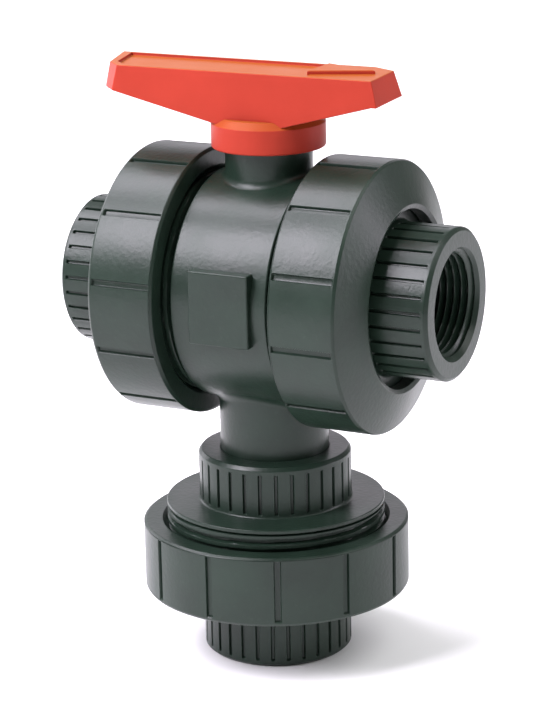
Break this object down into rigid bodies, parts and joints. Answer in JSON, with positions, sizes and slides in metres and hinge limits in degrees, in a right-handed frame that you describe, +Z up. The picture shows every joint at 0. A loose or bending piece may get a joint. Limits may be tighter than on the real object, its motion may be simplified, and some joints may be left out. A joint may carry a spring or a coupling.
{
  "type": "three way ball valve",
  "caption": "Three way ball valve in dark plastic with union ends, a downward branch and a red wing handle that turns the ball between the two run ports.",
  "frame": {"origin": "centre of the branch port's mouth, on the face the valve stands on", "axes": "+X along the run towards the port the handle's arrow shows, +Z up the stem, the raised plate faces -Y"},
  "size_m": [0.0974, 0.0656, 0.1459],
  "materials": {
    "pvc": "satin",
    "handle_plastic": "satin",
    "seat_plastic": "waxy",
    "seal_rubber": "matte"
  },
  "bodies": {
    "housing": {"valve_body": "pvc", "branch_union_head": "pvc", "seat_right": "seat_plastic", "seat_left": "seat_plastic", "seat_o_ring_right": "seal_rubber", "seat_o_ring_left": "seal_rubber", "seat_carrier_right": "pvc", "seat_carrier_left": "pvc", "carrier_o_ring_right": "seal_rubber", "carrier_o_ring_left": "seal_rubber", "face_o_ring_right": "seal_rubber", "face_o_ring_left": "seal_rubber", "bottom_seat": "seat_plastic", "bottom_seat_o_ring": "seal_rubber", "branch_face_o_ring": "seal_rubber"},
    "handle_and_ball": {"handle": "handle_plastic", "stem": "pvc", "ball": "pvc", "stem_o_ring_lower": "seal_rubber", "stem_o_ring_upper": "seal_rubber", "stem_thrust_washer": "seat_plastic"},
    "right_connector": {"end_connector_right": "pvc"},
    "right_nut": {"union_nut_right": "pvc"},
    "left_connector": {"end_connector_left": "pvc"},
    "left_nut": {"union_nut_left": "pvc"},
    "branch_connector": {"branch_end_connector": "pvc"},
    "branch_nut": {"branch_union_nut": "pvc"}
  },
  "joints": [
    {"name": "handle_turn", "type": "hinge", "parent": "housing", "child": "handle_and_ball", "pos_m": [0, 0, 0.092], "axis": [0, 0, 1], "range_deg": [0, 180]},
    {"name": "right_draw_off", "type": "slide", "parent": "housing", "child": "right_connector", "axis": [1, 0, 0], "range_m": [0, 0.0144]},
    {"name": "right_nut_turn", "type": "hinge", "parent": "right_connector", "child": "right_nut", "pos_m": [0.0487, 0, 0.092], "axis": [1, 0, 0], "range_deg": [0, 2160]},
    {"name": "left_draw_off", "type": "slide", "parent": "housing", "child": "left_connector", "axis": [-1, 0, 0], "range_m": [0, 0.0144]},
    {"name": "left_nut_turn", "type": "hinge", "parent": "left_connector", "child": "left_nut", "pos_m": [-0.0487, 0, 0.092], "axis": [-1, 0, 0], "range_deg": [0, 2160]},
    {"name": "branch_draw_off", "type": "slide", "parent": "housing", "child": "branch_connector", "axis": [0, 0, -1], "range_m": [0, 0.0144]},
    {"name": "branch_nut_turn", "type": "hinge", "parent": "branch_connector", "child": "branch_nut", "pos_m": [0, 0, 0], "axis": [0, 0, -1], "range_deg": [0, 2160]}
  ],
  "couplings": [
    {"joint": "right_draw_off", "follows": "right_nut_turn", "m_per_rad": 0.00038197},
    {"joint": "left_draw_off", "follows": "left_nut_turn", "m_per_rad": 0.00038197},
    {"joint": "branch_draw_off", "follows": "branch_nut_turn", "m_per_rad": 0.00038197}
  ]
}
